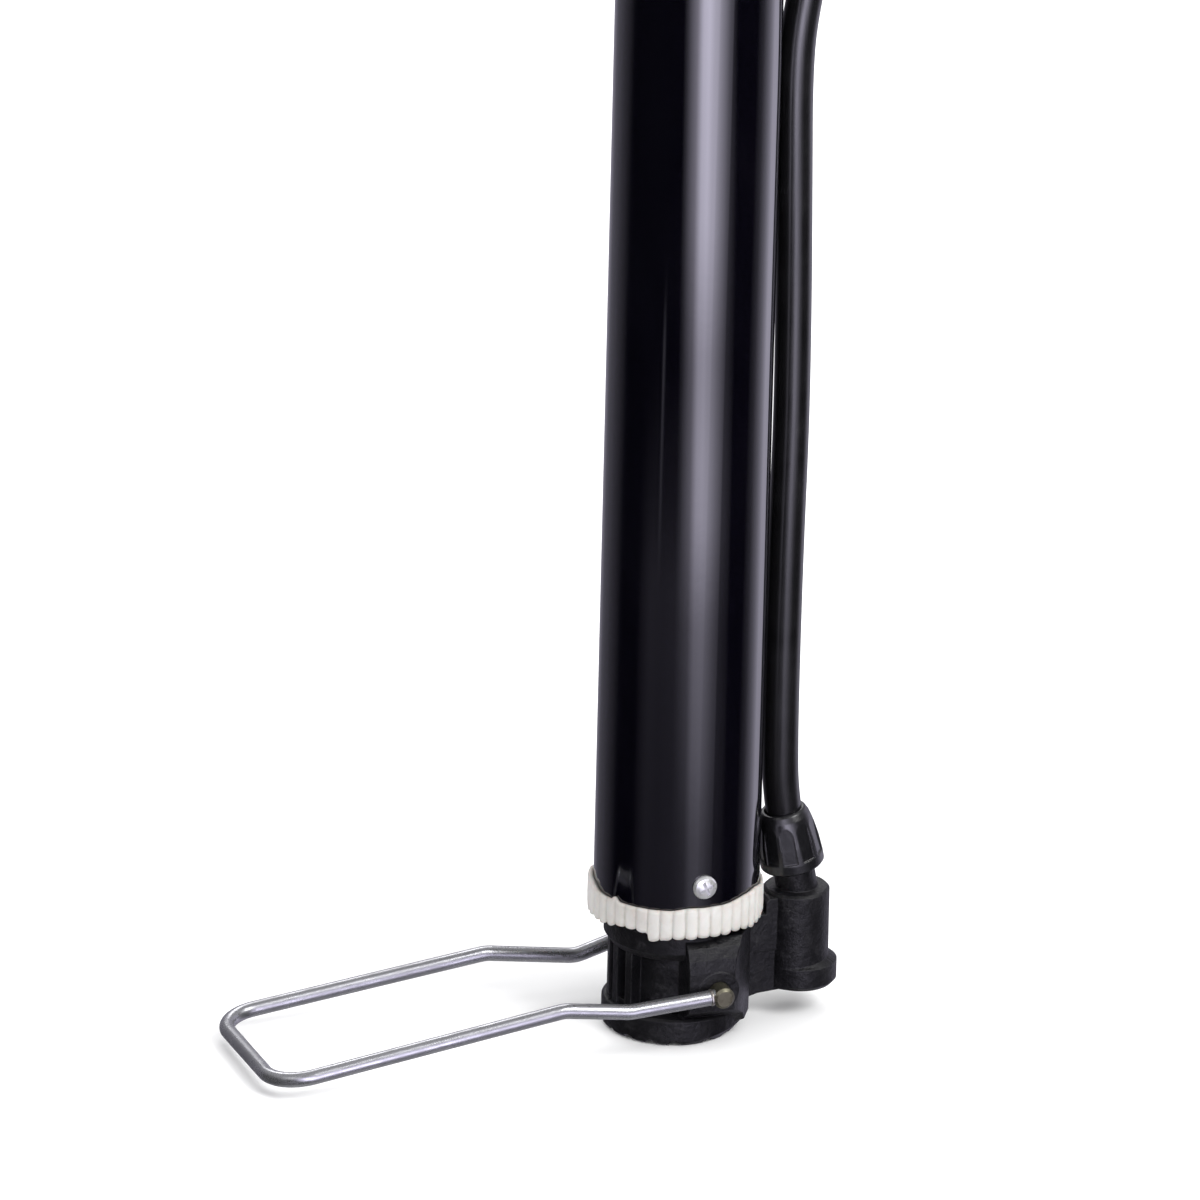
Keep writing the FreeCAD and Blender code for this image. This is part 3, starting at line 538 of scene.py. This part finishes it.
# ---------------------------------------- the studio's walls, seen in the gloss
wall = Tree("stage_wall")
wc = wall.n("TexCoord")
ws = wall.n("SeparateXYZ")
wall.link(wc.outputs["Object"], ws.inputs[0])
ang = wall.math("ARCTAN2", ws.outputs[1], ws.outputs[0])
# turn so that 0.5 is the camera's direction, and the picture's right is above 0.5
turned = wall.math("SUBTRACT", ang, math.radians(CAM_ANGLE))
wrapped = wall.n("Math", operation="WRAP")
wall.link(turned, wrapped.inputs[0])
wrapped.inputs[1].default_value = math.pi
wrapped.inputs[2].default_value = -math.pi
pos = wall.span(wrapped.outputs[0], -math.pi, math.pi)


drift = wall.math("ADD", wall.math("MULTIPLY", ws.outputs[2], 52.0 / 360.0), 4.55 / 360.0)
pos_main = wall.math("ADD", pos, drift)


def at(deg):
    return 0.5 + deg / 360.0


main = wall.ramp(pos_main, [(at(-15), 0.0), (at(-10), 0.05), (at(-4.5), 0.16), (at(3), 0.32), (at(11), 0.88), (at(19), 1.0), (at(28), 0.70),
                       (at(37), 0.41), (at(48), 0.14), (at(62), 0.0)])
sides = wall.ramp(pos, [(0.0, 0.40), (at(-155), 0.27), (at(-144), 0.20), (at(-126), 0.19), (at(-108), 0.11), (at(-96), 0.008), (at(-90), 0.0),
                        (at(88), 0.0), (at(100), 0.17), (at(114), 0.66), (at(128), 1.20), (at(141), 0.80), (at(152), 0.50), (1.0, 0.40)])
shelf = wall.ramp(pos, [(at(-66), 0.0), (at(-46), 0.9), (at(-30), 0.8), (at(-6), 1.0), (at(12), 0.0)])
thin = wall.ramp(pos, [(at(-38), 0.0), (at(-36.4), 1.0), (at(-34.6), 1.0), (at(-33), 0.0)])
zf = wall.span(ws.outputs[2], -0.26, 0.02)
height = wall.ramp(zf, [(0.0, 0.05), (0.198, 0.085), (0.271, 0.155), (0.386, 0.22), (0.470, 0.50), (0.52, 0.52), (0.607, 0.45), (0.719, 0.80), (1.0, 0.95)])
low = wall.ramp(zf, [(0.10, 0.55), (0.30, 0.85), (0.42, 1.0), (0.50, 0.35), (0.60, 0.0)])
mid = wall.ramp(zf, [(0.42, 0.0), (0.50, 0.6), (0.62, 1.0), (0.665, 0.0)])
glow = wall.math("ADD", wall.math("MULTIPLY", wall.math("MULTIPLY", main, height), 7.6), wall.math("MULTIPLY", sides, wall.span(zf, 0.25, 0.62, 0.76, 1.02)))
glow = wall.math("ADD", glow, wall.math("MULTIPLY", wall.math("MULTIPLY", shelf, low), 0.17))
glow = wall.math("ADD", glow, wall.math("MULTIPLY", wall.math("MULTIPLY", thin, mid), 0.32))
em = wall.n("Emission")
em.inputs["Color"].default_value = (0.90, 0.86, 1.06, 1.0)
wall.link(glow, em.inputs["Strength"])
# above the object the wall thins out into the room
clear = wall.m.node_tree.nodes.new("ShaderNodeBsdfTransparent")
fade = wall.m.node_tree.nodes.new("ShaderNodeMixShader")
wall.link(wall.span(ws.outputs[2], 0.08, 0.50), fade.inputs[0])
wall.link(em.outputs[0], fade.inputs[1])
wall.link(clear.outputs[0], fade.inputs[2])
wall.link(fade.outputs[0], wall.out.inputs[0])
wall.m.cycles.emission_sampling = "NONE"
bpy.ops.mesh.primitive_cylinder_add(vertices=256, radius=0.6, depth=1.65, end_fill_type="NOTHING", location=(0, 0, 0))
shell = bpy.context.object
shell.name = "stage_wall"
shell.data.transform(Matrix.Translation((0, 0, -0.225)))
shell.data.materials.append(wall.m)
shell.visible_camera = False
shell.visible_diffuse = False
shell.visible_shadow = False
shell.visible_transmission = False

# ----------------------------------------------------------------------- light
world = bpy.data.worlds.new("studio")
scene.world = world
world.use_nodes = True
wt = world.node_tree
wt.nodes.clear()
wo = wt.nodes.new("ShaderNodeOutputWorld")
bg = wt.nodes.new("ShaderNodeBackground")
tc = wt.nodes.new("ShaderNodeTexCoord")
sx = wt.nodes.new("ShaderNodeSeparateXYZ")
rp = wt.nodes.new("ShaderNodeValToRGB")
mr = wt.nodes.new("ShaderNodeMapRange")
wt.links.new(tc.outputs["Generated"], sx.inputs[0])
wt.links.new(sx.outputs[2], mr.inputs["Value"])
mr.inputs["From Min"].default_value = -1.0
mr.inputs["From Max"].default_value = 1.0
stops = [(0.0, 0.46), (0.46, 0.40), (0.50, 0.30), (0.60, 0.36), (0.74, 0.95), (1.0, 1.22)]
els = rp.color_ramp.elements
while len(els) < len(stops):
    els.new(0.5)
for e, (p_, c_) in zip(els, stops):
    e.position = p_
    e.color = (c_, c_, c_ * 1.01, 1)
wt.links.new(mr.outputs[0], rp.inputs["Fac"])
# a dark ceiling flag: the gloss sees less light from above than the surfaces get
flag = wt.nodes.new("ShaderNodeValToRGB")
fstops = [(0.0, 0.46), (0.46, 0.40), (0.50, 0.28), (0.60, 0.30), (0.74, 0.46), (1.0, 0.52)]
els = flag.color_ramp.elements
while len(els) < len(fstops):
    els.new(0.5)
for e, (p_, c_) in zip(els, fstops):
    e.position = p_
    e.color = (c_, c_, c_ * 1.02, 1)
wt.links.new(mr.outputs[0], flag.inputs["Fac"])
lp = wt.nodes.new("ShaderNodeLightPath")
pick = wt.nodes.new("ShaderNodeMixRGB")
wt.links.new(lp.outputs["Is Glossy Ray"], pick.inputs[0])
wt.links.new(rp.outputs["Color"], pick.inputs[1])
wt.links.new(flag.outputs["Color"], pick.inputs[2])
wt.links.new(pick.outputs[0], bg.inputs["Color"])
bg.inputs["Strength"].default_value = 1.0
wt.links.new(bg.outputs[0], wo.inputs[0])


def area(name, pos, aim, size, power, colour=(1, 1, 1)):
    d = bpy.data.lights.new(name, "AREA")
    d.shape = "RECTANGLE"
    d.size, d.size_y = size
    d.energy = power
    d.color = colour
    o = bpy.data.objects.new(name, d)
    scene.collection.objects.link(o)
    o.location = pos
    o.rotation_euler = (Vector(aim) - Vector(pos)).to_track_quat("-Z", "Y").to_euler()
    return o


area("light_key", (1.1, -1.4, 1.9), (0, 0, 0.1), (1.2, 1.2), 42.0)
area("light_fill", (-1.6, -0.9, 1.3), (0, 0, 0.1), (1.2, 1.2), 5.0)
area("light_back", (0.3, 1.6, 1.5), (0, 0, 0.15), (1.4, 0.8), 14.0)
